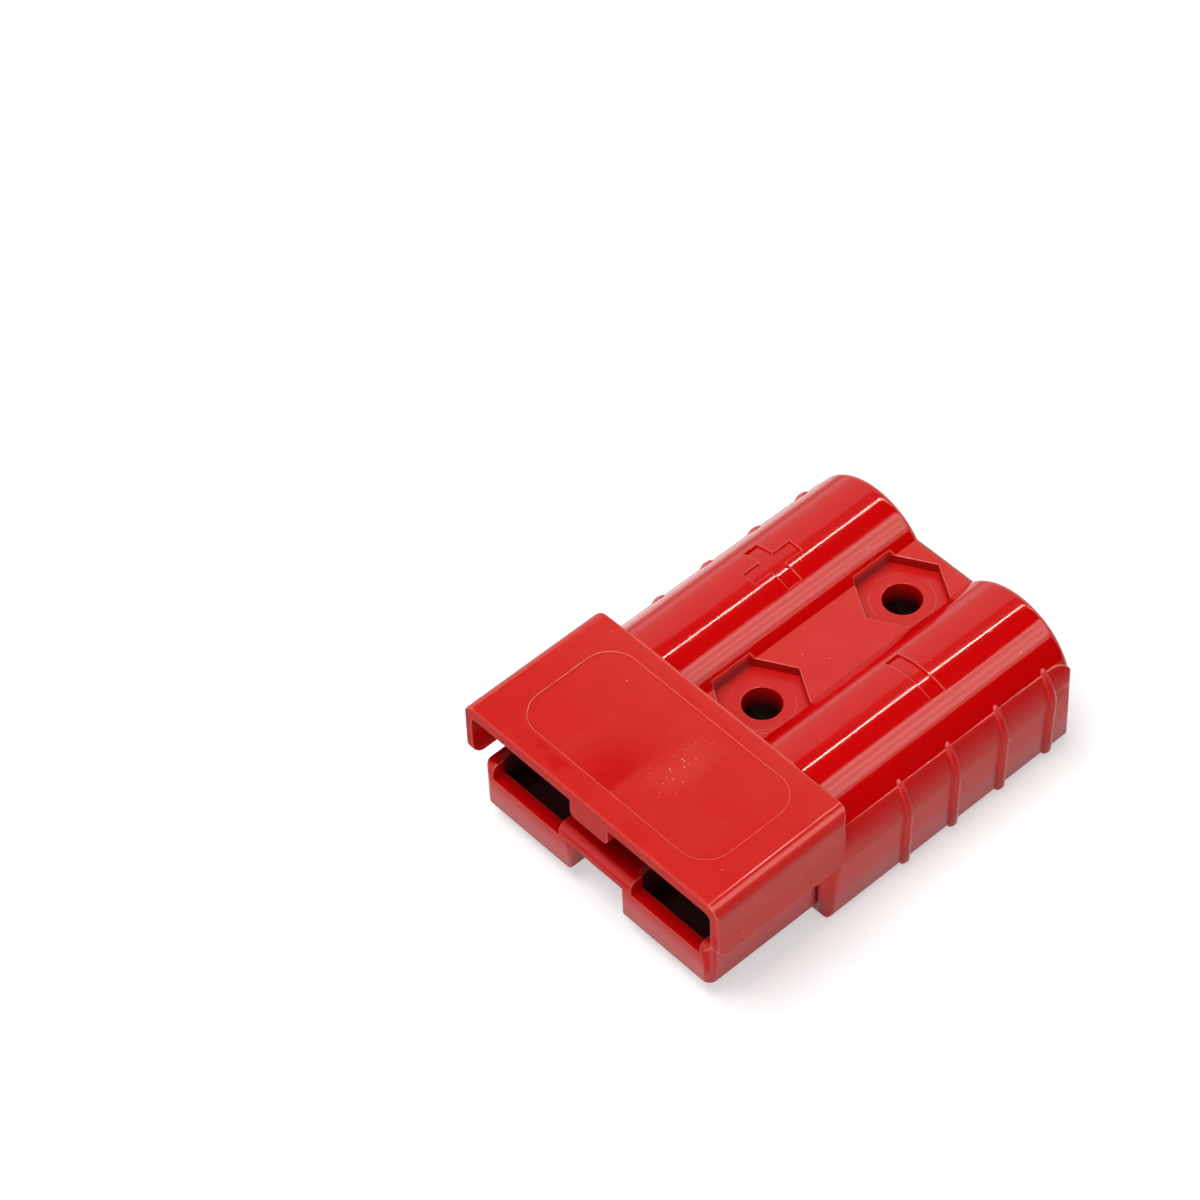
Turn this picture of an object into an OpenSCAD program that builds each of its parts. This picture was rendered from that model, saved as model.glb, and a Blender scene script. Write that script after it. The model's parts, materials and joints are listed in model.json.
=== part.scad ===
// Housing of a two-pole genderless power connector, with its two contact springs.
// The mating face looks along -Y, the cable entries look along +Y, and +Z is up.
// The origin is the middle of the bottom face of the bounding box.
// An equal connector mates with this one after half a turn about the Y axis, so
// every mating size below leaves room for its own twin.

/* [Housing] */
// Length from the mating face to the cable end
housing_length = 48.9; // [46:0.1:60]
// Width across the side walls at their widest, without the ribs
housing_width = 35.8; // [35.4:0.1:40]
// Height over the hood and the barrels
housing_height = 15.8; // [15.4:0.1:17.5]
// How far each side wall leans in from its widest line down to the bottom
side_draft = 0.4; // [0:0.05:0.6]
// Radius on the upright corners of the body, under the hood's lips
front_corner_radius = 2; // [0.3:0.1:2.5]
// Radius on the upright corners at the cable end
rear_corner_radius = 1.5; // [0.3:0.1:2]
// Radius on the bottom edges
foot_radius = 1.3; // [0.2:0.1:2]
// Radius on the barrels' rims and the web's edge at the cable end
end_radius = 1; // [0.3:0.1:1.2]

/* [Hood] */
// Length of the hood along the housing
hood_length = 17.6; // [16.5:0.1:19]
// Thickness of the hood's flat plate
hood_plate = 1.6; // [1:0.1:2]
// Thickness of the lips that hang from the plate's sides
lip_thickness = 1.05; // [0.9:0.05:1.4]
// Radius on the lips' lower edges
lip_edge_radius = 0.3; // [0.1:0.05:0.4]
// Radius on the lips' lower front corners, seen from the side
lip_front_radius = 2; // [0.5:0.1:3]
// Radius on the hood's long top edges
hood_edge_radius = 1.7; // [0.4:0.1:1.8]
// Radius on the front edges of the hood, top and sides
hood_front_radius = 0.4; // [0.2:0.1:0.5]
// Radius on the hood's rear corners, seen from above
hood_rear_radius = 1.2; // [0.4:0.1:1.6]
// Radius in the corners between the plate and the lips
hood_inner_radius = 0.8; // [0.2:0.1:1]
// Width of the key that hangs under the hood's middle
key_width = 5.3; // [3:0.1:6]
// How far the key hangs below the plate
key_drop = 2.3; // [1:0.1:3]
// Radius on the key's two lower edges
key_radius = 0.7; // [0.1:0.1:0.9]

/* [Label field] */
// Length of the sunken field across the hood
label_width = 26.8; // [18:0.1:29]
// Breadth of the sunken field along the hood
label_breadth = 12.9; // [8:0.1:13.2]
// Distance from the mating face to the field
label_setback = 2.7; // [1.5:0.1:3]
// Corner radius of the field
label_corner = 3.2; // [1:0.1:3.9]
// Depth of the field
label_depth = 0.2; // [0.1:0.05:0.4]

/* [Tongue] */
// Distance from the mating face to the body behind the tongue
mating_depth = 14.8; // [13.5:0.1:15.5]
// How far the tongue's front stands back from the hood's front
tongue_setback = 0.5; // [0:0.1:1]
// Clearance between mated parts, above and below each face
mating_gap = 0.4; // [0.2:0.05:0.5]
// Clearance between the lips and the twin's lips
lip_gap = 0.2; // [0.1:0.05:0.5]
// Clearance between the tongue's sides and the twin's lips
side_gap = 0.75; // [0.3:0.05:0.8]
// Clearance beside the key in the twin's notch, on each side
key_gap = 1; // [0.3:0.1:1.2]
// Radius on the upright front corners of the tongue
tongue_corner_radius = 1; // [0.3:0.1:1.1]
// Radius on the tongue's front top edge
tongue_top_radius = 1; // [0.3:0.1:1.3]
// Width of the troughs, and of the contact chambers behind them
trough_width = 9.6; // [8.4:0.1:9.8]
// Height of the troughs' floor above the housing's bottom
trough_floor = 3.5; // [3.2:0.1:4]
// Height of the sill across the front of each trough
sill_height = 6; // [5:0.1:6.4]
// Depth of that sill along the trough
sill_depth = 1.6; // [1:0.1:2.5]
// Height of the bridge's underside, above the notch for the twin's key
bridge_underside = 6; // [5.8:0.1:6.4]
// Radius on the notch's upright edges
notch_radius = 0.4; // [0.1:0.1:0.6]

/* [Body] */
// Distance between the barrels' axes, which is the pitch of the contacts
barrel_pitch = 19.9; // [19.6:0.1:20.2]
// Radius of each barrel
barrel_radius = 7.65; // [7.2:0.05:7.65]
// Thickness of the barrels' wall round the cable entries
barrel_wall = 2.2; // [1.9:0.1:3]
// How far the web between the barrels lies below their crests
web_drop = 3; // [2:0.1:3.4]
// Length of each cable entry, from the cable end
bore_length = 23.5; // [18:0.5:24.5]
// Chamfer at the mouth of each cable entry
bore_chamfer = 0.5; // [0.2:0.1:0.6]
// Height of each contact chamber above the troughs' floor
chamber_height = 7.9; // [6:0.1:8.2]

/* [Side ribs] */
// Number of ribs on each side
rib_count = 4; // [2:1:4]
// Distance between ribs
rib_pitch = 6.65; // [5:0.05:6.7]
// Thickness of a rib, whose outer edge is a half round
rib_thickness = 1.1; // [0.8:0.1:1.6]
// How far a rib stands out of the side wall
rib_height = 0.5; // [0.4:0.1:1]
// Distance from the last rib's middle to the cable end
rib_end_distance = 3.5; // [1.8:0.1:4]
// Height of the ribs' tips above the housing's bottom
rib_tip_height = 12.3; // [11.5:0.1:12.5]
// Radius of the bend that takes a rib from the side wall in to its tip
rib_bend_radius = 4.7; // [4:0.1:5.5]
// Height of the ribs' feet above the housing's bottom
rib_foot = 0.8; // [0.4:0.1:2]
// Height of the mould line where the side panels end
panel_height = 11.9; // [10:0.1:12]
// How far the side panels stand proud of the barrels at the mould line
panel_step = 0.1; // [0.05:0.05:0.2]
// Radius on the side panels' upper corner at the cable end, seen from the side
panel_end_radius = 2.5; // [1:0.1:3]

/* [Mounting holes] */
// Radius of the two mounting holes
hole_radius = 2.05; // [1.5:0.05:2.2]
// Distance between the mounting holes
hole_spacing = 19.4; // [17:0.1:19.6]
// Distance from the cable end to the nearer mounting hole
hole_end_distance = 6.4; // [6:0.1:7]
// Size of the nut pockets across their flats
nut_pocket_flats = 8.7; // [7:0.1:8.9]
// Depth of the nut pockets below the web
nut_pocket_depth = 1.2; // [0.5:0.1:1.6]

/* [Polarity marks] */
// Length of the bars of the plus and minus marks
mark_length = 6.4; // [4:0.1:8]
// Width of those bars
mark_width = 1.7; // [1:0.1:2.5]
// Depth of the marks in the barrels' crests
mark_depth = 0.3; // [0.1:0.05:0.5]
// Distance from the mating face to the middle of the marks
mark_position = 34.1; // [26:0.1:40]

/* [Contact springs] */
// Thickness of the spring strip
spring_thickness = 0.5; // [0.3:0.05:0.6]
// Width of the spring strip
spring_width = 7.6; // [5:0.1:8]
// Distance from the mating face to the springs' front ends
spring_setback = 6.6; // [5:0.1:7.2]
// Length of the arch that the contact presses down
spring_arch = 12; // [9:0.5:12.5]
// Rise of the arch above the strip's foot
spring_rise = 2.1; // [1:0.1:2.4]
// Length of the foot that lies on the floor behind the arch
spring_foot = 5; // [3:0.1:5.2]
// Depth of the tab that hooks the foot's rear end into the floor
spring_tab = 1.4; // [0.8:0.1:1.8]
// Clearance round the tab in its slot
spring_gap = 0.1; // [0.05:0.05:0.2]

/* [Hidden] */

half_width = housing_width / 2;
margin = 1;                          // extra length of a cutting tool

barrel_x = barrel_pitch / 2;
barrel_z = housing_height - barrel_radius;
bore_radius = barrel_radius - barrel_wall;
bore_start = housing_length - bore_length;
web_z = housing_height - web_drop;

panel_rise = panel_height - barrel_z;
panel_end_x = barrel_x + sqrt(pow(barrel_radius, 2) - pow(panel_rise, 2)) + panel_step;
panel_inset = half_width - panel_end_x;
panel_radius = (pow(panel_inset, 2) + pow(panel_rise, 2)) / (2 * panel_inset);

plate_z = housing_height - hood_plate;
lip_z = (housing_height + lip_gap) / 2;
tongue_top = (housing_height - mating_gap) / 2;
tongue_base = hood_plate + mating_gap;
cavity_half_width = half_width - lip_thickness;
tongue_half_width = cavity_half_width - side_gap;
notch_width = key_width + 2 * key_gap;

draft_angle = atan(side_draft / barrel_z);
rib_x = half_width + rib_height;
rib_tip_x = barrel_x + sqrt(pow(barrel_radius, 2) - pow(rib_tip_height - barrel_z, 2));
rib_bend_x = rib_x - rib_bend_radius;
rib_bend_z = rib_tip_height - sqrt(pow(rib_bend_radius, 2) - pow(rib_tip_x - rib_bend_x, 2));
rib_bend_angle = atan2(rib_tip_height - rib_bend_z, rib_tip_x - rib_bend_x) + draft_angle;
rib_root = rib_height + 0.8;         // from a rib's outer edge to its root in the wall
rib_sink = 8;                        // degrees of bend that sink a rib's tip in the barrel

hole_y = [housing_length - hole_end_distance - hole_spacing, housing_length - hole_end_distance];
nut_pocket_radius = nut_pocket_flats / 2 / cos(30);

arch_angle = 2 * atan(spring_rise / (spring_arch / 2));
arch_radius = spring_arch / 4 / sin(arch_angle);
arc_overlap = 0.5;                   // degrees that each arc of a spring runs into the next
spring_rear = spring_setback + spring_arch + spring_foot;

housing_color = "#D8332B";
steel_color = "#B9BDC1";

$fn = 96;

// Vector of length one along v
function unit(v) = v / norm(v);

// Extrudes an X-Z section along Y
module along_y(from, to) {
    translate([0, to, 0]) rotate([90, 0, 0]) linear_extrude(to - from) children();
}

// Extrudes a Y-Z section along X
module along_x(from, to) {
    translate([from, 0, 0]) rotate([90, 0, 90]) linear_extrude(to - from) children();
}

// Puts a copy on each side of the middle plane
module both_sides() {
    children();
    mirror([1, 0, 0]) children();
}

// What a true arc takes off an outer corner, whose sides run back and ahead from it
module corner_waste(corner, back, ahead, radius) {
    half_angle = acos(back * ahead) / 2;
    reach = radius / tan(half_angle);
    centre = corner + unit(back + ahead) * radius / sin(half_angle);
    difference() {
        polygon([corner, corner + reach * back, centre, corner + reach * ahead]);
        translate(centre) circle(radius);
    }
}

// Polygon with its outer corners rounded, by one radius for each point
module rounded_polygon(points, radii) {
    count = len(points);
    difference() {
        polygon(points);
        for (i = [0 : count - 1]) if (radii[i] > 0) corner_waste(
            points[i],
            unit(points[(i + count - 1) % count] - points[i]),
            unit(points[(i + 1) % count] - points[i]),
            radii[i]);
    }
}

// Rectangle between two corners. Its radii go from the low left corner round to
// the low right, high right and high left ones.
module rounded_rectangle(low, high, radii) {
    rounded_polygon([low, [high.x, low.y], high, [low.x, high.y]], radii);
}

// Section below the mould line: flat bottom, leaning sides and curved panels above them
module lower_section() {
    foot = half_width - side_draft;
    rounded_polygon(
        [[-foot, 0], [foot, 0], [half_width, barrel_z], [-half_width, barrel_z]],
        [foot_radius, foot_radius, 0, 0]);
    translate([-barrel_x, 0]) square([2 * barrel_x, panel_height]);
    both_sides() intersection() {
        translate([half_width - panel_radius, barrel_z]) circle(panel_radius);
        translate([0, barrel_z]) square([half_width, panel_rise]);
    }
}

module lower_body() {
    intersection() {
        along_y(mating_depth, housing_length) lower_section();
        linear_extrude(panel_height) rounded_rectangle(
            [-half_width, mating_depth], [half_width, housing_length],
            [front_corner_radius, front_corner_radius, rear_corner_radius, rear_corner_radius]);
        along_x(-half_width, half_width) rounded_rectangle(
            [mating_depth, 0], [housing_length, panel_height],
            [foot_radius, foot_radius, panel_end_radius, 0]);
    }
}

// Upper half of a barrel
module barrel() {
    translate([barrel_x, 0, barrel_z]) rotate([-90, 0, 0]) rotate_extrude(angle = -180)
        rounded_rectangle(
            [0, mating_depth], [barrel_radius, housing_length], [0, 0, end_radius, 0]);
}

// Flat top between the barrels
module web() {
    along_x(-barrel_x, barrel_x) rounded_rectangle(
        [mating_depth, barrel_z], [housing_length, web_z], [0, 0, end_radius, 0]);
}

// Plate and side lips, over the mating space and the front of the body
module hood() {
    intersection() {
        along_y(0, hood_length) difference() {
            rounded_rectangle(
                [-half_width, lip_z], [half_width, housing_height],
                [lip_edge_radius, lip_edge_radius, hood_edge_radius, hood_edge_radius]);
            both_sides() corner_waste(
                [cavity_half_width, lip_z], [0, 1], [1, 0], lip_edge_radius);
        }
        along_x(-half_width, half_width) rounded_rectangle(
            [0, lip_z], [hood_length, housing_height],
            [lip_front_radius, 0, 0, hood_front_radius]);
        linear_extrude(housing_height) rounded_rectangle(
            [-half_width, 0], [half_width, hood_length],
            [hood_front_radius, hood_front_radius, hood_rear_radius, hood_rear_radius]);
    }
}

// The space that the twin's tongue enters, open to the front
module mating_space() {
    along_y(-margin, mating_depth) rounded_rectangle(
        [-cavity_half_width, 0], [cavity_half_width, plate_z],
        [0, 0, hood_inner_radius, hood_inner_radius]);
}

module key() {
    along_y(0, mating_depth) rounded_rectangle(
        [-key_width / 2, plate_z - key_drop], [key_width / 2, plate_z],
        [key_radius, key_radius, 0, 0]);
}

module tongue() {
    intersection() {
        translate([0, 0, tongue_base]) linear_extrude(tongue_top - tongue_base)
            rounded_rectangle(
                [-tongue_half_width, tongue_setback], [tongue_half_width, mating_depth],
                [tongue_corner_radius, tongue_corner_radius, 0, 0]);
        along_x(-tongue_half_width, tongue_half_width) rounded_rectangle(
            [tongue_setback, tongue_base], [mating_depth, tongue_top],
            [0, 0, 0, tongue_top_radius]);
    }
}

// Notch under the bridge, for the twin's key. Its upright front edges are rounded.
module notch() {
    half = notch_width / 2;
    translate([0, 0, tongue_base - margin]) linear_extrude(bridge_underside - tongue_base + margin) {
        translate([-half, -margin]) square([notch_width, mating_depth + margin]);
        both_sides() corner_waste([half, tongue_setback], [0, 1], [1, 0], notch_radius);
    }
}

// Trough in the tongue, and the contact chamber behind it
module contact_way() {
    low_x = barrel_x - trough_width / 2;
    trough_start = tongue_setback + sill_depth;
    translate([low_x, trough_start, trough_floor])
        cube([trough_width, bore_start - trough_start + margin, chamber_height]);
    translate([low_x, -margin, sill_height])
        cube([trough_width, mating_depth + margin, tongue_top - sill_height + margin]);
}

module cable_entry() {
    translate([barrel_x, 0, barrel_z]) rotate([-90, 0, 0]) {
        translate([0, 0, bore_start]) cylinder(r = bore_radius, h = bore_length + margin);
        translate([0, 0, housing_length - bore_chamfer]) cylinder(
            r1 = bore_radius, r2 = bore_radius + bore_chamfer + margin, h = bore_chamfer + margin);
    }
}

// Section of a rib, with x measured from the centre of its bend
module rib_section() {
    edge = rib_thickness / 2;
    translate([rib_bend_radius - edge, 0]) circle(edge);
    translate([rib_bend_radius - rib_root, -edge]) square([rib_root - edge, rib_thickness]);
}

// A rib runs up the leaning side wall and bends in to its tip on the barrel
module rib(middle_y) {
    height = rib_bend_z - rib_foot;
    translate([rib_bend_x, middle_y, rib_bend_z]) rotate([0, draft_angle, 0]) {
        intersection() {
            translate([0, 0, -height]) linear_extrude(height) rib_section();
            along_y(-rib_thickness, rib_thickness) rounded_rectangle(
                [0, -height], [rib_bend_radius, 0], [0, rib_thickness / 2, 0, 0]);
        }
        rotate([90, 0, 0]) rotate_extrude(angle = rib_bend_angle + rib_sink) rib_section();
    }
}

module ribs() {
    for (i = [0 : rib_count - 1])
        rib(housing_length - rib_end_distance - i * rib_pitch);
}

module mounting_holes() {
    for (y = hole_y) translate([0, y, 0]) {
        translate([0, 0, -margin]) cylinder(r = hole_radius, h = housing_height + 2 * margin);
        translate([0, 0, web_z - nut_pocket_depth]) rotate([0, 0, 30])
            cylinder(r = nut_pocket_radius, h = housing_height, $fn = 6);
    }
}

// Sunken bar in a barrel's crest, following the barrel's curve
module mark_bar(side, size) {
    translate([side * barrel_x, mark_position, 0]) intersection() {
        translate([-size.x / 2, -size.y / 2, barrel_z]) cube([size.x, size.y, barrel_radius + margin]);
        translate([0, 0, barrel_z]) rotate([90, 0, 0]) difference() {
            cylinder(r = barrel_radius + margin, h = size.y + margin, center = true);
            cylinder(r = barrel_radius - mark_depth, h = size.y + 2 * margin, center = true);
        }
    }
}

module label_field() {
    translate([0, 0, housing_height - label_depth]) linear_extrude(label_depth + margin)
        rounded_rectangle(
            [-label_width / 2, label_setback],
            [label_width / 2, label_setback + label_breadth],
            [label_corner, label_corner, label_corner, label_corner]);
}

// Slot in a chamber's floor for the tab of its spring
module tab_slot() {
    slot_width = spring_width + 2 * spring_gap;
    translate([
        barrel_x - slot_width / 2,
        spring_rear - spring_thickness - spring_gap,
        trough_floor - spring_tab - spring_gap,
    ]) cube([slot_width, spring_thickness + 2 * spring_gap, spring_tab + spring_gap + margin]);
}

// Stretch of the spring's strip along an arc, a little longer so that it joins the next
module strip_arc(radius, arc_from, arc_to) {
    reach = 2 * radius;
    from = arc_from - arc_overlap;
    to = arc_to + arc_overlap;
    intersection() {
        difference() {
            circle(radius + spring_thickness / 2);
            circle(radius - spring_thickness / 2);
        }
        polygon([[0, 0], reach * [cos(from), sin(from)], reach * [cos(to), sin(to)]]);
    }
}

// Side view of a spring: an arch at the front, a flat foot and a tab at the rear
module spring_profile() {
    strip_z = trough_floor + spring_thickness / 2;
    arch_end = spring_setback + spring_arch;
    translate([spring_setback, strip_z + arch_radius])
        strip_arc(arch_radius, -90, -90 + arch_angle);
    translate([spring_setback + spring_arch / 2, strip_z + spring_rise - arch_radius])
        strip_arc(arch_radius, 90 - arch_angle, 90 + arch_angle);
    translate([arch_end, strip_z + arch_radius])
        strip_arc(arch_radius, -90 - arch_angle, -90);
    translate([arch_end, trough_floor]) square([spring_foot, spring_thickness]);
    translate([spring_rear - spring_thickness, trough_floor - spring_tab])
        square([spring_thickness, spring_tab + spring_thickness]);
}

module spring(side) {
    middle = side * barrel_x;
    color(steel_color) translate([0, -housing_length / 2, 0])
        along_x(middle - spring_width / 2, middle + spring_width / 2) spring_profile();
}

module housing() {
    color(housing_color) translate([0, -housing_length / 2, 0]) difference() {
        union() {
            lower_body();
            web();
            difference() {
                hood();
                mating_space();
            }
            key();
            tongue();
            both_sides() {
                barrel();
                ribs();
            }
        }
        notch();
        both_sides() {
            contact_way();
            cable_entry();
            tab_slot();
        }
        mounting_holes();
        label_field();
        mark_bar(-1, [mark_length, mark_width]);
        mark_bar(-1, [mark_width, mark_length]);
        mark_bar(1, [mark_length, mark_width]);
    }
}

module spring_left() {
    spring(-1);
}

module spring_right() {
    spring(1);
}

housing();
spring_left();
spring_right();
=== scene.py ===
"""Dresses the genderless power connector: its housing, side ribs, springs, studio and camera."""

from __future__ import annotations

import json
import logging
import math
from dataclasses import dataclass, replace
from enum import Enum
from typing import Any, Iterable

import bmesh
import bpy
from bpy.types import Material, Mesh, Node, NodeTree, Object
from bpy.types import NodeSocket as Socket
from mathutils import Matrix, Vector
from mathutils.bvhtree import BVHTree

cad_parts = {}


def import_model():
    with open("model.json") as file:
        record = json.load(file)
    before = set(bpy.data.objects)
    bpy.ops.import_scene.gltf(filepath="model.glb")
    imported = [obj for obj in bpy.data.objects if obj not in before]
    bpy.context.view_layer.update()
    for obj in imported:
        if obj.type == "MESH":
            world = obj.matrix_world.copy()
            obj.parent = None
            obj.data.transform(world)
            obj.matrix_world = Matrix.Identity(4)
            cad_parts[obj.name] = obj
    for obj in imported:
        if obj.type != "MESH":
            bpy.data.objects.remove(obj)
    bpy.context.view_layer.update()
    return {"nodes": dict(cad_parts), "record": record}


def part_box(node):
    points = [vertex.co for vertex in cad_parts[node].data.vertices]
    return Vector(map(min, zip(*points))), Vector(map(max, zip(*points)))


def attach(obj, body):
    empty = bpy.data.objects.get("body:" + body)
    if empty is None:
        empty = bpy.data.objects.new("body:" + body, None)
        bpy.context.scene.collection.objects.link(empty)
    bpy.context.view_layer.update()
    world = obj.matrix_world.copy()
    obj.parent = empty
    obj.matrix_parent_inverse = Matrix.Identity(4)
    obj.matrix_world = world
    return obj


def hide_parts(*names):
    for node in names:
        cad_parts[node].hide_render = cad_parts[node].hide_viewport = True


LOG = logging.getLogger("power_connector")
MM = 0.001
ROOT = "root"
QUARTER_TURN = math.radians(90)

Point = tuple[float, float, float]
Span = tuple[float, float]
Colour = tuple[float, float, float, float]

WHITE: Colour = (1.0, 1.0, 1.0, 1.0)


def grey(level: float) -> Colour:
    """Return an opaque grey of a linear level."""
    return (level, level, level, 1.0)


class Side(Enum):
    """The two sides of the connector, with the direction of each along X."""

    LEFT = -1
    RIGHT = 1


class NodeBench:
    """Adds nodes to one node tree and joins their sockets."""

    def __init__(self, tree: NodeTree) -> None:
        """Keep the tree of the material, node group, world or modifier that the nodes go into."""
        self.tree = tree

    def add(self, kind: str, inputs: dict[Any, Any] | None = None, **settings: Any) -> Node:
        """Add a node, set its properties and fill its inputs.

        Args:
            kind: the node's type name.
            inputs: values or output sockets by input name or number.
            **settings: properties of the node itself.

        Returns:
            The new node.
        """
        node = self.tree.nodes.new(kind)
        for name, value in settings.items():
            setattr(node, name, value)
        for name, value in (inputs or {}).items():
            if isinstance(value, Socket):
                self.tree.links.new(value, node.inputs[name])
            else:
                node.inputs[name].default_value = value
        return node

    def math(self, operation: str, *values: Any, clamp: bool = False) -> Socket:
        """Add a maths node for an operation, with its result kept between 0 and 1 by clamp."""
        inputs = dict(enumerate(values))
        return self.add("ShaderNodeMath", inputs, operation=operation, use_clamp=clamp).outputs[0]

    def below(self, value: Any, limit: Any) -> Socket:
        """Return 1 where a value is below a limit, and 0 elsewhere."""
        return self.math("LESS_THAN", value, limit)

    def above(self, value: Any, limit: Any) -> Socket:
        """Return 1 where a value is above a limit, and 0 elsewhere."""
        return self.math("GREATER_THAN", value, limit)

    def length(self, first: Any, second: Any) -> Socket:
        """Measure the length of a step with two sides at right angles."""
        squares = self.math("ADD", self.product(first, first), self.product(second, second))
        return self.math("SQRT", squares)

    def ramp(self, value: Any, low: float, high: float, start: float = 0.0, end: float = 1.0) -> Socket:
        """Map a value smoothly from one range to another, clamped at both ends.

        Args:
            value: the number or socket to map.
            low: the value that gives start.
            high: the value that gives end.
            start: the result at and below low.
            end: the result at and above high.

        Returns:
            The mapped value.
        """
        node = self.add(
            "ShaderNodeMapRange",
            {"Value": value, "From Min": low, "From Max": high, "To Min": start, "To Max": end},
            interpolation_type="SMOOTHSTEP",
        )
        return node.outputs["Result"]

    def product(self, *values: Any) -> Socket:
        """Multiply any number of values.

        Args:
            *values: numbers or output sockets.

        Returns:
            Their product.
        """
        result = values[0]
        for value in values[1:]:
            result = self.math("MULTIPLY", result, value)
        return result

    def band(self, value: Any, low: float, high: float, soft: float) -> Socket:
        """Return 1 between two limits and 0 outside them, with a soft edge inside each limit."""
        rise = self.ramp(value, low, low + soft)
        return self.product(rise, self.ramp(value, high - soft, high, 1.0, 0.0))

    def mix(self, share: Any, first: Any, second: Any, blend: str = "MIX") -> Socket:
        """Mix two colours, with a share of the second from 0 to 1."""
        colours = {0: share, 6: first, 7: second}
        return self.add("ShaderNodeMix", colours, data_type="RGBA", blend_type=blend).outputs[2]


def blank_material(name: str) -> tuple[Material, NodeBench]:
    """Make a material with no nodes.

    Args:
        name: the material's name.

    Returns:
        The material, and a bench that adds nodes to it.
    """
    material = bpy.data.materials.new(name)
    material.use_nodes = True
    material.node_tree.nodes.clear()
    return material, NodeBench(material.node_tree)


class EffectGroup:
    """A shader node group with named inputs and outputs, built once and shared by materials."""

    name = "effect"
    numbers: dict[str, float] = {}
    results: tuple[str, ...] = ()

    def group(self) -> NodeTree:
        """Build the group the first time, and return the same one after that.

        Returns:
            The node group.
        """
        found = bpy.data.node_groups.get(self.name)
        if found:
            return found
        tree = bpy.data.node_groups.new(self.name, "ShaderNodeTree")
        sockets = tree.interface
        sockets.new_socket("Position", in_out="INPUT", socket_type="NodeSocketVector")
        for label, value in self.numbers.items():
            socket = sockets.new_socket(label, in_out="INPUT", socket_type="NodeSocketFloat")
            socket.default_value = value
        for label in self.results:
            sockets.new_socket(label, in_out="OUTPUT", socket_type="NodeSocketFloat")
        bench = NodeBench(tree)
        entry = bench.add("NodeGroupInput")
        outputs = self.effect(bench, entry)
        bench.add("NodeGroupOutput", dict(zip(self.results, outputs)))
        return tree

    def effect(self, bench: NodeBench, entry: Node) -> tuple[Socket, ...]:
        """Build the nodes between the group's inputs and outputs, with a socket for each result."""
        raise NotImplementedError

    def place(self, bench: NodeBench, position: Socket, **values: Any) -> Node:
        """Put the group into a material, with its inputs by name and underscores for spaces."""
        inputs = {label.replace("_", " "): value for label, value in values.items()}
        return bench.add("ShaderNodeGroup", {"Position": position} | inputs, node_tree=self.group())


class PolishLines(EffectGroup):
    """Fine lines along the mould, left by polishing it, and a slow waviness across them."""

    name = "polish_lines"
    numbers = {"Line Scale": 2600.0, "Line Stretch": 0.03, "Wave Scale": 260.0}
    results = ("Height", "Streak")
    wave_height = 3.0
    streak_range: Span = (0.4, 0.65)

    def effect(self, bench: NodeBench, entry: Node) -> tuple[Socket, ...]:
        """Stretch noise along Y, because the mould's halves are polished that way.

        Args:
            bench: adds nodes to the group.
            entry: the group's input node.

        Returns:
            The height, and 1 where a line shows.
        """
        values = entry.outputs
        stretch = bench.add("ShaderNodeCombineXYZ", {0: 1.0, 1: values["Line Stretch"], 2: 1.0})
        drawn = bench.add(
            "ShaderNodeVectorMath",
            {0: values["Position"], 1: stretch.outputs[0]},
            operation="MULTIPLY",
        ).outputs[0]
        lines = bench.add(
            "ShaderNodeTexNoise",
            {"Vector": drawn, "Scale": values["Line Scale"], "Detail": 3.0, "Roughness": 0.6},
        ).outputs[0]
        wave = bench.add(
            "ShaderNodeTexNoise", {"Vector": drawn, "Scale": values["Wave Scale"], "Detail": 1.0}
        ).outputs[0]
        height = bench.math("ADD", lines, bench.math("MULTIPLY", wave, self.wave_height))
        return height, bench.ramp(lines, *self.streak_range)


class Mottle(EffectGroup):
    """Cloudy and fine unevenness of a moulded skin."""

    name = "mottle"
    numbers = {"Cloud Scale": 220.0, "Grain Scale": 2400.0}
    results = ("Cloud", "Grain")
    details = {"Cloud Scale": 3.0, "Grain Scale": 2.0}

    def effect(self, bench: NodeBench, entry: Node) -> tuple[Socket, ...]:
        """Add two noises, one slow and one fine.

        Args:
            bench: adds nodes to the group.
            entry: the group's input node.

        Returns:
            The slow noise and the fine one.
        """
        values = entry.outputs
        outputs = []
        for label, detail in self.details.items():
            noise = bench.add(
                "ShaderNodeTexNoise",
                {"Vector": values["Position"], "Scale": values[label], "Detail": detail},
            )
            outputs.append(noise.outputs[0])
        return tuple(outputs)


class Specks(EffectGroup):
    """Sparse pale specks: dust and tiny nicks."""

    name = "specks"
    numbers = {"Scale": 900.0, "Size": 0.09, "Share": 0.08}
    results = ("Speck",)

    def effect(self, bench: NodeBench, entry: Node) -> tuple[Socket, ...]:
        """Keep a small share of the cells of a Voronoi pattern and mark their middles.

        Args:
            bench: adds nodes to the group.
            entry: the group's input node.

        Returns:
            1 on a speck and 0 elsewhere.
        """
        values = entry.outputs
        cells = bench.add(
            "ShaderNodeTexVoronoi", {"Vector": values["Position"], "Scale": values["Scale"]}
        ).outputs
        chosen = bench.add("ShaderNodeSeparateColor", {0: cells["Color"]}).outputs[0]
        kept = bench.below(chosen, values["Share"])
        near = bench.below(cells["Distance"], values["Size"])
        return (bench.math("MULTIPLY", kept, near),)


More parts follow.
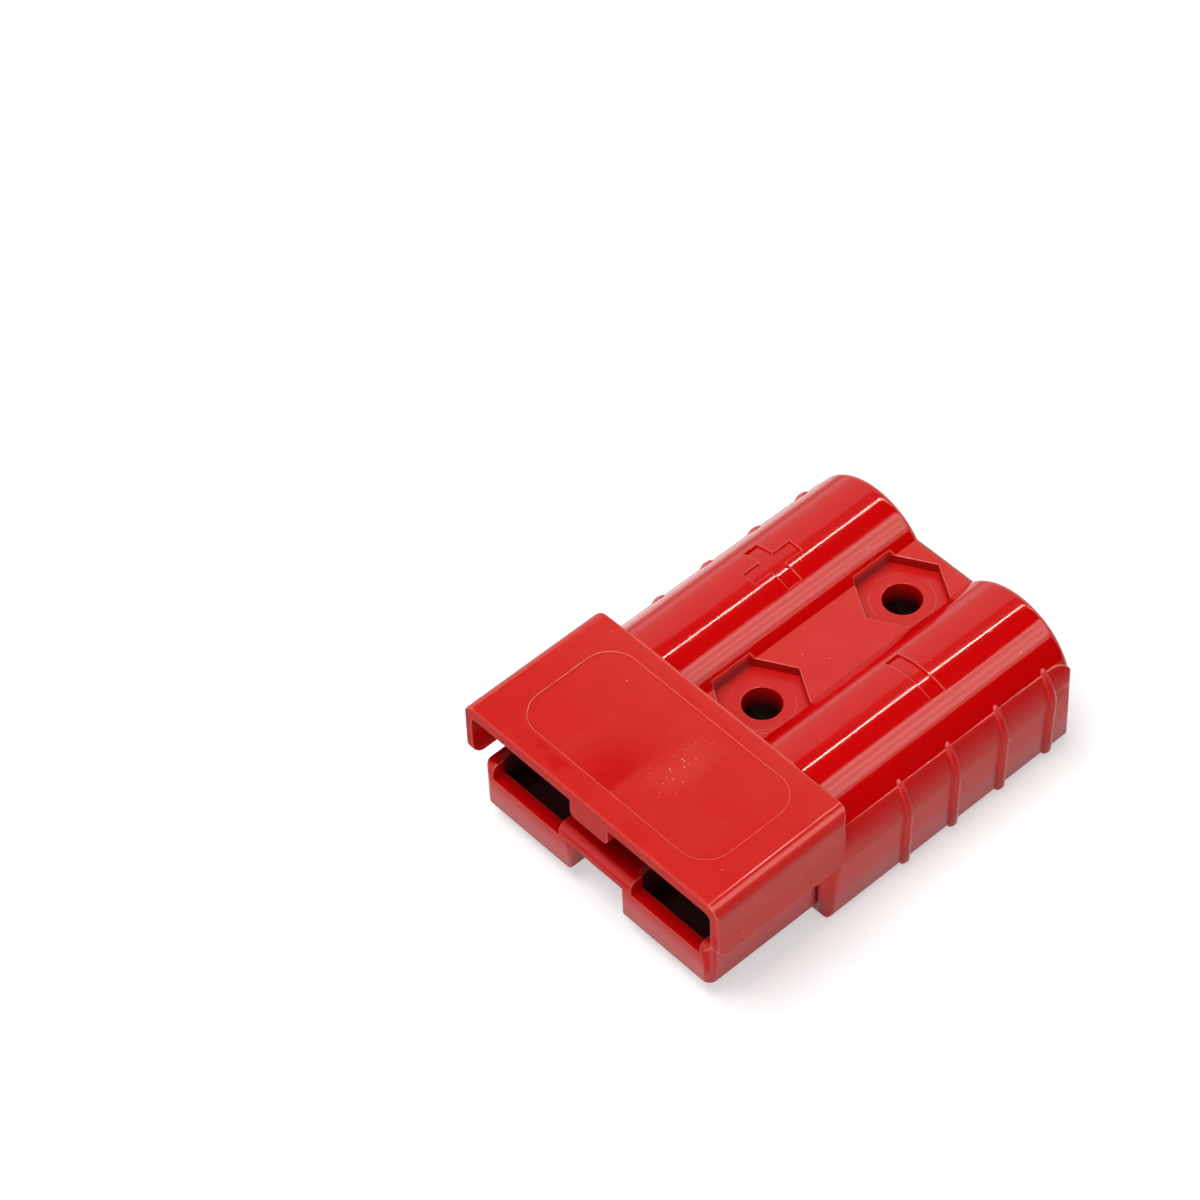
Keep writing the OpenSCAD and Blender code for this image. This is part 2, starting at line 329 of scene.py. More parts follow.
@dataclass(frozen=True)
class HousingPlan:
    """Places on the housing that its finish follows, in metres, in the frame of the part."""

    mating_face: float
    hood_top: float
    hole_middle: float
    hole_offset: float
    hole_radius: float
    barrel_x: float
    barrel_z: float
    bore_radius: float
    hood_length: float = 17.6 * MM
    mating_depth: float = 14.8 * MM
    mould_line: float = 11.9 * MM
    web_drop: float = 3.0 * MM
    web_half_width: float = 5.0 * MM
    pocket_depth: float = 1.2 * MM
    hood_ceiling: float = 14.2 * MM
    lip_bottom: float = 8.0 * MM
    tongue_half_width: float = 16.1 * MM
    trough_half_width: float = 4.8 * MM
    trough_floor: float = 3.5 * MM
    sill_rear: float = 2.1 * MM

    @classmethod
    def from_frame(cls, record: dict[str, Any]) -> HousingPlan:
        """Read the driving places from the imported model.

        Args:
            record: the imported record.

        Returns:
            The plan.
        """
        mounts = {mount["name"]: mount for mount in record["mounts"]}
        holes = mounts["mounting_holes"]
        entry = mounts["cable_entry_right"]
        low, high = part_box("housing")
        return cls(
            mating_face=round(low.y, 6),
            hood_top=round(high.z, 6),
            hole_middle=holes["pos_m"][1],
            hole_offset=holes["dims"]["spacing_y_mm"] / 2 * MM,
            hole_radius=holes["dims"]["hole_r_mm"] * MM,
            barrel_x=entry["pos_m"][0],
            barrel_z=entry["pos_m"][2],
            bore_radius=entry["dims"]["r_mm"] * MM,
        )

    @property
    def hood_rear(self) -> float:
        """Return the Y of the hood's rear face."""
        return self.mating_face + self.hood_length

    @property
    def body_front(self) -> float:
        """Return the Y of the body's front face, under the hood."""
        return self.mating_face + self.mating_depth

    @property
    def web_level(self) -> float:
        """Return the Z of the web between the barrels."""
        return self.hood_top - self.web_drop

    @property
    def pocket_floor(self) -> float:
        """Return the Z of the nut pockets' floors."""
        return self.web_level - self.pocket_depth


class HousingSkin:
    """Places and masks on the housing, as sockets that the plastic's finish reads."""

    def __init__(self, bench: NodeBench, plan: HousingPlan) -> None:
        """Add the nodes that the whole finish shares.

        Args:
            bench: adds nodes to the plastic's material.
            plan: the housing's places.
        """
        self.bench = bench
        self.plan = plan
        self.place = bench.add("ShaderNodeTexCoord").outputs["Object"]
        self.x, self.y, self.z = bench.add("ShaderNodeSeparateXYZ", {0: self.place}).outputs
        self.width = bench.math("ABSOLUTE", self.x)
        # rim: faces that get the painted edge highlight
        self.rim = bench.add("ShaderNodeAttribute", attribute_name="rim").outputs["Fac"]
        mottle = Mottle().place(bench, self.place).outputs
        self.cloud, self.grain = mottle["Cloud"], mottle["Grain"]
        lines = PolishLines().place(bench, self.place).outputs
        self.lines, self.streak = lines["Height"], lines["Streak"]
        self.barrel = self.barrel_mask()
        self.hood = self.hood_mask()
        self.from_hole = self.hole_distance()
        self.from_bore = self.bore_distance()
        self.pocket_wall = self.pocket_wall_mask()

    def barrel_mask(self) -> Socket:
        """Mask the polished barrels, above the mould line and behind the hood.

        Returns:
            1 on the barrels and 0 elsewhere.
        """
        bench, plan = self.bench, self.plan
        upper = bench.ramp(self.z, plan.mould_line - 0.05 * MM, plan.mould_line + 0.05 * MM)
        behind = bench.above(self.y, plan.hood_rear)
        on_web = bench.product(
            bench.below(self.width, plan.web_half_width),
            bench.below(self.z, plan.web_level + 0.02 * MM),
        )
        return bench.product(upper, behind, bench.math("SUBTRACT", 1.0, on_web))

    def hood_mask(self) -> Socket:
        """Return 1 on the hood's plate, without its rounded side edges, and 0 elsewhere."""
        top, bench = self.plan.hood_top, self.bench
        high = bench.ramp(self.z, top - 0.6 * MM, top - 0.3 * MM)
        return bench.math("MULTIPLY", high, bench.below(self.y, self.plan.hood_rear))

    def hole_distance(self) -> Socket:
        """Measure how far a place is from the nearer mounting hole's axis, seen from above.

        Returns:
            The distance in metres.
        """
        bench, plan = self.bench, self.plan
        from_middle = bench.math("ABSOLUTE", bench.math("SUBTRACT", self.y, plan.hole_middle))
        return bench.length(bench.math("SUBTRACT", from_middle, plan.hole_offset), self.x)

    def bore_distance(self) -> Socket:
        """Measure how far a place is from the nearer bore's axis, in metres."""
        side = self.bench.math("SUBTRACT", self.width, self.plan.barrel_x)
        return self.bench.length(side, self.bench.math("SUBTRACT", self.z, self.plan.barrel_z))

    def pocket_wall_mask(self) -> Socket:
        """Mask the walls of the nut pockets.

        Returns:
            1 on the walls and 0 elsewhere.
        """
        bench, plan = self.bench, self.plan
        low, high = plan.pocket_floor + 0.02 * MM, plan.web_level - 0.05 * MM
        return bench.product(
            bench.below(self.width, plan.web_half_width),
            bench.band(self.z, low, high, 0.05 * MM),
            bench.above(self.y, plan.hood_rear),
        )

    def pocket_floor_mask(self) -> Socket:
        """Return 1 at the level of the nut pockets' floors, and 0 elsewhere."""
        floor = self.plan.pocket_floor
        return self.bench.band(self.z, floor - 0.05 * MM, floor + 0.05 * MM, 0.01 * MM)


@dataclass(frozen=True)
class PaintedSheenPatch:
    """Where a dimmer reflection is painted on the hood's plate as a darker red, in metres from the
    middle and the mating face.
    """

    left_edge: Span = (-6.5 * MM, -1.0 * MM)
    right_edge: Span = (-0.4 * MM, 0.5 * MM)
    front_edge: Span = (2.5 * MM, 2.8 * MM)
    rear_edge: Span = (5.0 * MM, 12.0 * MM)
    border_across: Span = (-12.0 * MM, -1.0 * MM)
    border_along: Span = (0.4 * MM, 2.4 * MM)
    border_strength: float = 0.8
    raggedness: float = 5.0 * MM

    def mask(self, skin: HousingSkin, cloud: Socket) -> Socket:
        """Mask the painted dim reflection, and a ragged stretch of the border in front of it.

        Args:
            skin: the housing's places and masks.
            cloud: the slow unevenness, spread from 0 to 1.

        Returns:
            1 where the plate is darkest.
        """
        bench, front = skin.bench, skin.plan.mating_face
        depth = bench.math("SUBTRACT", skin.y, front)
        drift = bench.product(bench.math("SUBTRACT", skin.cloud, 0.5), self.raggedness)
        ragged = bench.math("ADD", skin.x, drift)
        dim_sheen = bench.product(
            bench.ramp(ragged, *self.left_edge),
            bench.ramp(skin.x, *self.right_edge, 1.0, 0.0),
            bench.ramp(depth, *self.rear_edge, 1.0, 0.0),
            bench.ramp(depth, *self.front_edge),
        )
        border = bench.product(
            bench.band(ragged, *self.border_across, 2.5 * MM),
            bench.ramp(cloud, 0.2, 0.7),
            bench.band(depth, *self.border_along, 0.5 * MM),
            self.border_strength,
        )
        return bench.math("ADD", dim_sheen, border, clamp=True)


@dataclass(frozen=True)
class RedPlastic:
    """The housing's moulded plastic: polished on the barrels, and a little duller elsewhere."""

    plan: HousingPlan
    name: str = "red_plastic"
    deep: Colour = (0.62, 0.0008, 0.0018, 1.0)
    scarlet: Colour = (0.64, 0.019, 0.014, 1.0)
    # deeper red of the painted dim reflection on the hood's plate, also used for the barrels' polish
    # streaks
    dim_sheen_and_streak: Colour = (0.57, 0.0004, 0.0012, 1.0)
    # pale red of the painted edge highlight, also used to lighten the cutter's ring
    edge: Colour = (0.80, 0.17, 0.12, 1.0)
    speck: Colour = (0.85, 0.42, 0.34, 1.0)
    # levels of the painted shade in the holes, bores, openings, pocket walls and near the foot
    gap_shade: Colour = (0.4, 0.1, 0.1, 1.0)
    wall_shade: Colour = (0.55, 0.2, 0.2, 1.0)
    bore_shade: float = 0.7
    trough_shade: float = 0.15
    recess_shade: float = 0.42
    hole_shade: float = 0.06
    foot_shade: float = 0.66
    polished: float = 0.07
    hood_gloss: float = 0.14
    satin: float = 0.24
    wall_polish: float = 0.16
    inside_dullness: float = 0.35
    polish_height: float = 0.0009 * MM
    grain_height: float = 0.0016 * MM
    ring_height: float = 0.0035 * MM
    ring_pitch: float = 0.32 * MM
    dim_sheen: PaintedSheenPatch = PaintedSheenPatch()

    def build(self) -> Material:
        """Build the material.

        Returns:
            The node material.
        """
        material, bench = blank_material(self.name)
        skin = HousingSkin(bench, self.plan)
        tone = self.shade(skin, self.marks(skin, self.tone(skin)))
        height = self.relief(skin)
        bump = bench.add("ShaderNodeBump", {"Strength": 1.0, "Distance": 1.0, "Height": height})
        shader = bench.add(
            "ShaderNodeBsdfPrincipled",
            {
                "Base Color": tone,
                "Roughness": self.roughness(skin),
                "Normal": bump.outputs[0],
                "IOR": 1.5,
            },
        )
        bench.add("ShaderNodeOutputMaterial", {0: shader.outputs[0]})
        return material

    def roughness(self, skin: HousingSkin) -> Socket:
        """Make the barrels the glossiest, and the inside of the openings dull.

        Args:
            skin: the housing's places and masks.

        Returns:
            The roughness.
        """
        bench, plan = skin.bench, self.plan
        on_hood = bench.product(skin.hood, self.hood_gloss - self.satin)
        dull = bench.math("ADD", self.satin, on_hood)
        on_wall = bench.product(skin.pocket_wall, self.wall_polish)
        dull = bench.math("SUBTRACT", dull, on_wall)
        inside = bench.product(
            bench.below(skin.from_bore, plan.bore_radius + 0.15 * MM),
            bench.below(skin.z, plan.hood_ceiling - 0.1 * MM),
            bench.above(skin.y, plan.mating_face + plan.sill_rear + 0.1 * MM),
        )
        dull = bench.math("ADD", dull, bench.product(inside, self.inside_dullness))
        on_barrel = bench.product(skin.barrel, bench.math("SUBTRACT", self.polished, dull))
        rough = bench.math("ADD", dull, on_barrel)
        uneven = bench.product(bench.math("SUBTRACT", skin.grain, 0.5), 0.07)
        rough = bench.math("ADD", rough, uneven)
        lined = bench.product(skin.streak, skin.barrel, 0.03)
        return bench.math("ADD", rough, lined, clamp=True)

    def tone(self, skin: HousingSkin) -> Socket:
        """Colour the plastic: deep red on the barrels and low down, scarlet on the upper flats.

        Args:
            skin: the housing's places and masks.

        Returns:
            The colour, with the painted dim reflection on the hood's plate and the barrels' streaks.
        """
        bench = skin.bench
        cloud = bench.ramp(skin.cloud, 0.35, 0.7)
        flat = bench.math("SUBTRACT", 1.0, skin.barrel)
        upper = bench.ramp(skin.z, 11.0 * MM, 12.2 * MM)
        pale = bench.product(flat, upper, bench.ramp(cloud, 0.0, 1.0, 0.75, 1.0))
        tone = bench.mix(pale, self.deep, self.scarlet)
        grain = bench.ramp(skin.grain, 0.3, 0.6, 0.8, 1.0)
        # painted reflection: part of the hood's plate is coloured darker where its sheen is dimmer
        dim_sheen = bench.product(self.dim_sheen.mask(skin, cloud), skin.hood, grain)
        tone = bench.mix(dim_sheen, tone, self.dim_sheen_and_streak)
        return bench.mix(bench.product(skin.streak, skin.barrel, 0.2), tone, self.dim_sheen_and_streak)

    def marks(self, skin: HousingSkin, tone: Socket) -> Socket:
        """Paint a highlight on the broken edges, lighten the cutter's ring, and scatter specks and fine
        nicks.

        Args:
            skin: the housing's places and masks.
            tone: the plastic's colour.

        Returns:
            The colour.
        """
        bench, front = skin.bench, self.plan.mating_face
        sparse = Specks().place(bench, skin.place).outputs["Speck"]
        dense = Specks().place(bench, skin.place, Scale=3400.0, Size=0.24, Share=0.14)
        scuffed = bench.product(
            bench.band(skin.x, 0.0, 5.6 * MM, 2.4 * MM),
            bench.band(skin.y, front + 4.0 * MM, front + 15.4 * MM, 4.0 * MM),
            skin.hood,
        )
        tone = bench.mix(bench.product(scuffed, 0.035), tone, self.speck)
        nicks = bench.product(dense.outputs["Speck"], scuffed, 0.8)
        dust = bench.math("ADD", bench.product(sparse, 0.35), nicks, clamp=True)
        tone = bench.mix(dust, tone, self.speck)
        ring = bench.product(
            bench.band(skin.from_hole, 3.28 * MM, 3.44 * MM, 0.05 * MM),
            bench.ramp(skin.cloud, 0.45, 0.6),
            skin.pocket_floor_mask(),
        )
        tone = bench.mix(bench.product(ring, 0.3), tone, self.edge)
        # painted highlight on the rounded edges and rib crests, stronger higher up and kept out of the
        # mounting holes
        clear = bench.ramp(skin.from_hole, 2.4 * MM, 2.5 * MM)
        edge_highlight = bench.ramp(skin.z, 1.0 * MM, 9.0 * MM, 0.12, 0.46)
        return bench.mix(bench.product(skin.rim, clear, edge_highlight), tone, self.edge)

    def shade(self, skin: HousingSkin, tone: Socket) -> Socket:
        """Paint shade into the plastic in the holes, the bores, the openings, on the pocket walls and
        near the foot.

        Args:
            skin: the housing's places and masks.
            tone: the plastic's colour.

        Returns:
            The colour.
        """
        bench, plan = skin.bench, self.plan
        front = plan.mating_face
        hole_bottom, hole_top = plan.pocket_floor - 3.2 * MM, plan.pocket_floor - 0.05 * MM
        in_hole = bench.below(skin.from_hole, plan.hole_radius + 0.1 * MM)
        in_bore = bench.product(
            bench.below(skin.from_bore, plan.bore_radius + 0.15 * MM),
            bench.above(skin.y, plan.body_front + 0.4 * MM),
        )
        under_hood = bench.product(
            bench.below(skin.width, plan.tongue_half_width - 0.15 * MM),
            bench.below(skin.z, plan.hood_ceiling + 0.05 * MM),
            bench.below(skin.y, plan.body_front + 0.5 * MM),
        )
        beside_tongue = bench.product(
            bench.above(skin.width, plan.tongue_half_width - 0.15 * MM),
            bench.below(skin.z, plan.lip_bottom - 0.1 * MM),
            bench.band(skin.y, plan.body_front - 0.3 * MM, plan.body_front + 0.05 * MM, 0.03 * MM),
        )
        from_barrel = bench.math("SUBTRACT", skin.width, plan.barrel_x)
        sill = front + plan.sill_rear
        in_trough = bench.product(
            under_hood,
            bench.below(bench.math("ABSOLUTE", from_barrel), plan.trough_half_width + 0.15 * MM),
            bench.above(skin.z, plan.trough_floor - 0.3 * MM),
            bench.ramp(skin.y, sill - 0.2 * MM, sill + 0.2 * MM),
        )
        shades = (
            (in_hole, bench.ramp(skin.z, hole_bottom, hole_top, self.hole_shade, 1.0)),
            (in_bore, grey(self.bore_shade)),
            (under_hood, bench.ramp(skin.y, front + 0.4 * MM, front + 3.4 * MM, 1.0, self.recess_shade)),
            (beside_tongue, self.gap_shade),
            (in_trough, grey(self.trough_shade)),
            (skin.pocket_wall, self.wall_shade),
            # painted shade, darker towards the foot
            (1.0, bench.ramp(skin.z, 0.8 * MM, 5.8 * MM, self.foot_shade, 1.0)),
        )
        for mask, shade in shades:
            tone = bench.mix(mask, tone, shade, "MULTIPLY")
        return tone

    def relief(self, skin: HousingSkin) -> Socket:
        """Raise the polish lines, the grain and the cutter's rings round the mounting holes.

        Args:
            skin: the housing's places and masks.

        Returns:
            The height in metres.
        """
        bench = skin.bench
        polish = bench.product(skin.lines, skin.barrel, self.polish_height)
        unpolished = bench.math("SUBTRACT", 1.12, skin.barrel)
        grain = bench.product(skin.grain, unpolished, self.grain_height)
        wave = bench.product(skin.from_hole, 2.0 * math.pi / self.ring_pitch)
        rings = bench.product(
            bench.math("SINE", wave),
            skin.pocket_floor_mask(),
            bench.band(skin.from_hole, 2.5 * MM, 3.7 * MM, 0.3 * MM),
            self.ring_height,
        )
        return bench.math("ADD", bench.math("ADD", polish, grain), rings)


@dataclass(frozen=True)
class SpringSteel:
    """The contact springs' cold-rolled strip, with its rolling lines along Y."""

    name: str = "spring_steel"
    colour: Colour = (0.56, 0.57, 0.58, 1.0)
    dark: Colour = (0.4032, 0.4104, 0.4176, 1.0)
    roughness: float = 0.28

    def build(self) -> Material:
        """Build the material.

        Returns:
            The node material.
        """
        material, bench = blank_material(self.name)
        place = bench.add("ShaderNodeTexCoord").outputs["Object"]
        lines = PolishLines().place(bench, place, Line_Scale=5200.0, Line_Stretch=0.02).outputs
        uneven = bench.math("MULTIPLY", lines["Streak"], 0.14)
        bump = bench.add(
            "ShaderNodeBump", {"Strength": 0.3, "Distance": 0.01 * MM, "Height": lines["Height"]}
        )
        shader = bench.add(
            "ShaderNodeBsdfPrincipled",
            {
                "Base Color": bench.mix(lines["Streak"], self.dark, self.colour),
                "Metallic": 1.0,
                "Roughness": bench.math("ADD", self.roughness, uneven),
                "Normal": bump.outputs[0],
            },
        )
        bench.add("ShaderNodeOutputMaterial", {0: shader.outputs[0]})
        return material


def new_piece(name: str, mesh: Mesh, material: Material) -> Object:
    """Link an object for a finished mesh.

    Args:
        name: the piece's name.
        mesh: its mesh, in metres, in the frame of the part.
        material: its only material.

    Returns:
        The object, at the origin.
    """
    mesh.materials.clear()
    mesh.materials.append(material)
    piece = bpy.data.objects.new(name, mesh)
    bpy.context.scene.collection.objects.link(piece)
    return piece


def finish_piece(piece: Object) -> None:
    """Make a finished piece ride on the connector.

    Args:
        piece: an object at the origin with its place in its mesh.
    """
    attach(piece, ROOT)
    LOG.info("%s: %d faces", piece.name, len(piece.data.polygons))


@dataclass
class HousingShell:
    """The visible housing: the moulded body with its outer edges softly broken."""

    node: Object
    plastic: Material
    weld: float = 0.002 * MM
    flat_angle: float = math.radians(0.4)
    edge_angle: float = math.radians(32)
    edge_break: float = 0.13 * MM
    edge_steps: int = 2
    stray: float = 0.06 * MM
    flat_weight: int = 100

    def build(self) -> None:
        """Copy the node's mesh, weld it, break its edges and let the copy stand for the node."""
        mesh = self.node.data.copy()
        work = bmesh.new()
        work.from_mesh(mesh)
        bmesh.ops.remove_doubles(work, verts=work.verts, dist=self.weld)
        bmesh.ops.dissolve_limit(
            work, angle_limit=self.flat_angle, verts=work.verts, edges=work.edges
        )
        self.break_edges(work)
        for face in work.faces:
            face.smooth = True
        for edge in work.edges:
            edge.smooth = edge.calc_face_angle(0.0) < self.edge_angle
        work.to_mesh(mesh)
        work.free()
        old_normals = mesh.attributes.get("custom_normal")
        if old_normals:
            mesh.attributes.remove(old_normals)
        piece = new_piece("housing_shell", mesh, self.plastic)
        level = piece.modifiers.new("flat_faces", "WEIGHTED_NORMAL")
        level.keep_sharp = True
        level.weight = self.flat_weight
        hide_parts("housing")
        finish_piece(piece)

    def break_edges(self, work: bmesh.types.BMesh) -> None:
        """Round every outer edge, and note the new faces in the attribute that the painted edge
        highlight reads.

        Args:
            work: the welded mesh.
        """
        rim = work.faces.layers.float.new("rim")
        sound = BVHTree.FromBMesh(work)
        outer = [e for e in work.edges if e.calc_face_angle_signed(0.0) > self.edge_angle]
        made = bmesh.ops.bevel(
            work,
            geom=outer,
            offset=self.edge_break,
            offset_type="OFFSET",
            segments=self.edge_steps,
            profile=0.5,
            affect="EDGES",
            clamp_overlap=False,
        )
        for face in made["faces"]:
            face[rim] = 1.0
        pulled = 0
        for vert in work.verts:
            nearest, _, _, distance = sound.find_nearest(vert.co)
            if distance > self.stray:
                vert.co = nearest
                pulled += 1
        LOG.info("%d outer edges broken, %d corners pulled back", len(outer), pulled)


@dataclass
class GripRibs:
    """The ribs on both sides, laid over the housing's own from one swept rib."""

    plastic: Material
    count: int = 4
    pitch: float = 6.65 * MM
    last_rib: float = 20.95 * MM
    thickness: float = 1.1 * MM
    bend_radius: float = 4.7 * MM
    bend_x: float = 13.7 * MM
    bend_z: float = 8.436 * MM
    bend_angle: float = math.radians(60.5)
    lean: float = math.radians(2.8098)
    foot: float = 0.8 * MM
    proud: float = 0.012 * MM
    root_fillet: float = 0.22 * MM
    root_depth: float = 0.56 * MM
    skirt_width: float = 0.02 * MM
    skirt_depth: float = 0.25 * MM
    foot_steps: int = 6
    straight_steps: int = 8
    bend_steps: int = 24
    fillet_steps: int = 3
    crest_steps: int = 8
    weld: float = 0.0005 * MM
    # the painted highlight along each rib's crest: its share of the thickness, its level and the height
    # it starts at
    crest_highlight_share: float = 0.09
    crest_highlight_level: float = 0.55
    crest_highlight_from: float = 1.2 * MM

    def build(self) -> None:
        """Sweep one rib, repeat it along both sides and dress the result."""
        seed = new_piece("rib_seed", self.rib_mesh(), self.plastic)
        tree = self.row_tree()
        rows = seed.modifiers.new("rows", "NODES")
        rows.node_group = tree
        values = {
            "Count": self.count,
            "Pitch": self.pitch,
            "Last Rib": self.last_rib,
            "Material": self.plastic,
        }
        for item in tree.interface.items_tree:
            if item.item_type == "SOCKET" and item.name in values:
                rows[item.identifier] = values[item.name]
        depsgraph = bpy.context.evaluated_depsgraph_get()
        mesh = bpy.data.meshes.new_from_object(seed.evaluated_get(depsgraph))
        bpy.data.objects.remove(seed)
        finish_piece(new_piece("grip_ribs", mesh, self.plastic))

    def stations(self) -> list[tuple[Vector, Vector]]:
        """List the places along the crest, from the foot up and round the bend to the tip.

        Returns:
            The crest's places, each with its outward direction, both in the XZ plane.
        """
        lean = Matrix.Rotation(self.lean, 4, "Y")
        middle = Vector((self.bend_x, 0.0, self.bend_z))
        half = self.thickness / 2
        reach = self.bend_radius + self.proud
        height = (self.bend_z - self.foot) / math.cos(self.lean)
        found = []
        for step in range(self.foot_steps + 1):
            turn = QUARTER_TURN * (1 - step / self.foot_steps)
            across = reach - half + half * math.cos(turn)
            local = Vector((across, 0.0, -height + half - half * math.sin(turn)))
            outward = Vector((math.cos(turn), 0.0, -math.sin(turn)))
            found.append((middle + lean @ local, lean @ outward))
        for step in range(1, self.straight_steps):
            level = (-height + half) * (1 - step / self.straight_steps)
            local = Vector((reach, 0.0, level))
            found.append((middle + lean @ local, lean @ Vector((1.0, 0.0, 0.0))))
        for step in range(self.bend_steps + 1):
            turn = self.bend_angle * step / self.bend_steps
            outward = lean @ Vector((math.cos(turn), 0.0, math.sin(turn)))
            found.append((middle + outward * reach, outward))
        return found

    def section(self) -> list[Span]:
        """Draw the rib's half-round section with a small fillet at each root.

        Returns:
            Places across the rib, each with its depth below the crest.
        """
        half = self.thickness / 2 + self.proud
        fillet = self.root_fillet
        points = [(half + fillet + self.skirt_width, self.root_depth + self.skirt_depth)]
        for step in range(self.fillet_steps + 1):
            turn = QUARTER_TURN * step / self.fillet_steps
            across = half + fillet * (1 - math.sin(turn))
            points.append((across, self.root_depth - fillet * (1 - math.cos(turn))))
        for step in range(1, self.crest_steps + 1):
            turn = QUARTER_TURN * step / self.crest_steps
            points.append((half * math.cos(turn), half * (1 - math.sin(turn))))
        return points + [(-across, depth) for across, depth in reversed(points[:-1])]

    def rib_mesh(self) -> Mesh:
        """Sweep the section along the crest, on the right side, with its middle at Y 0.

        Returns:
            The mesh of one rib.
        """
        work = bmesh.new()
        section = [(Vector((0.0, across, 0.0)), depth) for across, depth in self.section()]
        rows = [
            [work.verts.new(crest - outward * depth + across) for across, depth in section]
            for crest, outward in self.stations()
        ]
        for low, high in zip(rows, rows[1:]):
            for index in range(len(low) - 1):
                work.faces.new((low[index], low[index + 1], high[index + 1], high[index]))
        for row in (rows[0], rows[-1]):
            work.faces.new(row)
        for low, high in zip(rows, rows[1:]):
            work.faces.new((low[0], high[0], high[-1], low[-1]))
        bmesh.ops.remove_doubles(work, verts=work.verts, dist=self.weld)
        bmesh.ops.recalc_face_normals(work, faces=work.faces)
        # painted highlight along the crest, read by the plastic through the rim attribute
        rim = work.verts.layers.float.new("rim")
        for vert in work.verts:
            on_crest = abs(vert.co.y) < self.crest_highlight_share * self.thickness
            vert[rim] = self.crest_highlight_level if on_crest and vert.co.z > self.crest_highlight_from else 0.0
        for face in work.faces:
            face.smooth = True
        mesh = bpy.data.meshes.new("rib_seed")
        work.to_mesh(mesh)
        work.free()
        return mesh

    def row_tree(self) -> NodeTree:
        """Build the tree that sets a row of ribs on each side.

        Returns:
            The Geometry Nodes tree.
        """
        tree = bpy.data.node_groups.new("rib_rows", "GeometryNodeTree")
        for label, kind in (
            ("Rib", "NodeSocketGeometry"),
            ("Count", "NodeSocketInt"),
            ("Pitch", "NodeSocketFloat"),
            ("Last Rib", "NodeSocketFloat"),
            ("Material", "NodeSocketMaterial"),
        ):
            tree.interface.new_socket(label, in_out="INPUT", socket_type=kind)
        tree.interface.new_socket("Ribs", in_out="OUTPUT", socket_type="NodeSocketGeometry")
        bench = NodeBench(tree)
        entry = bench.add("NodeGroupInput").outputs
        start = bench.add("ShaderNodeCombineXYZ", {1: entry["Last Rib"]})
        step = bench.add("ShaderNodeCombineXYZ", {1: bench.math("MULTIPLY", entry["Pitch"], -1.0)})
        row = bench.add(
            "GeometryNodeMeshLine",
            {"Count": entry["Count"], "Start Location": start.outputs[0], "Offset": step.outputs[0]},
        )
        both = bench.add("GeometryNodeJoinGeometry")
        for side in Side:
            turn = 0.0 if side is Side.RIGHT else math.pi
            ribs = bench.add(
                "GeometryNodeInstanceOnPoints",
                {"Points": row.outputs[0], "Instance": entry["Rib"], "Rotation": (0.0, 0.0, turn)},
            )
            tree.links.new(ribs.outputs[0], both.inputs[0])
        solid = bench.add("GeometryNodeRealizeInstances", {"Geometry": both.outputs[0]})
        dressed = bench.add(
            "GeometryNodeSetMaterial",
            {"Geometry": solid.outputs[0], "Material": entry["Material"]},
        )
        bench.add("NodeGroupOutput", {0: dressed.outputs[0]})
        return tree


@dataclass
class ContactSprings:
    """The two flat springs under the contacts."""

    nodes: dict[str, Object]
    steel: Material

    def dress(self) -> None:
        """Give both springs their strip finish."""
        for side in Side:
            node = self.nodes[f"spring_{side.name.lower()}"]
            for slot in node.material_slots:
                slot.material = self.steel
            LOG.info("%s: dressed", node.name)


@dataclass(frozen=True)
class Lamp:
    """A soft area lamp that faces a point and shows in no reflection."""

    name: str
    place: Point
    target: Point
    width: float
    length: float
    radiance: float

    def build(self) -> None:
        """Make the lamp."""
        data = bpy.data.lights.new(self.name, "AREA")
        data.shape = "RECTANGLE"
        data.size = self.width
        data.size_y = self.length
        data.energy = self.radiance * math.pi * self.width * self.length
        lamp = bpy.data.objects.new(self.name, data)
        bpy.context.scene.collection.objects.link(lamp)
        back = (Vector(self.place) - Vector(self.target)).normalized()
        side = Vector((0.0, 1.0, 0.0)).cross(back).normalized()
        along = back.cross(side)
        turn = Matrix((side, along, back)).transposed().to_4x4()
        lamp.matrix_world = Matrix.Translation(self.place) @ turn
        lamp.visible_glossy = False


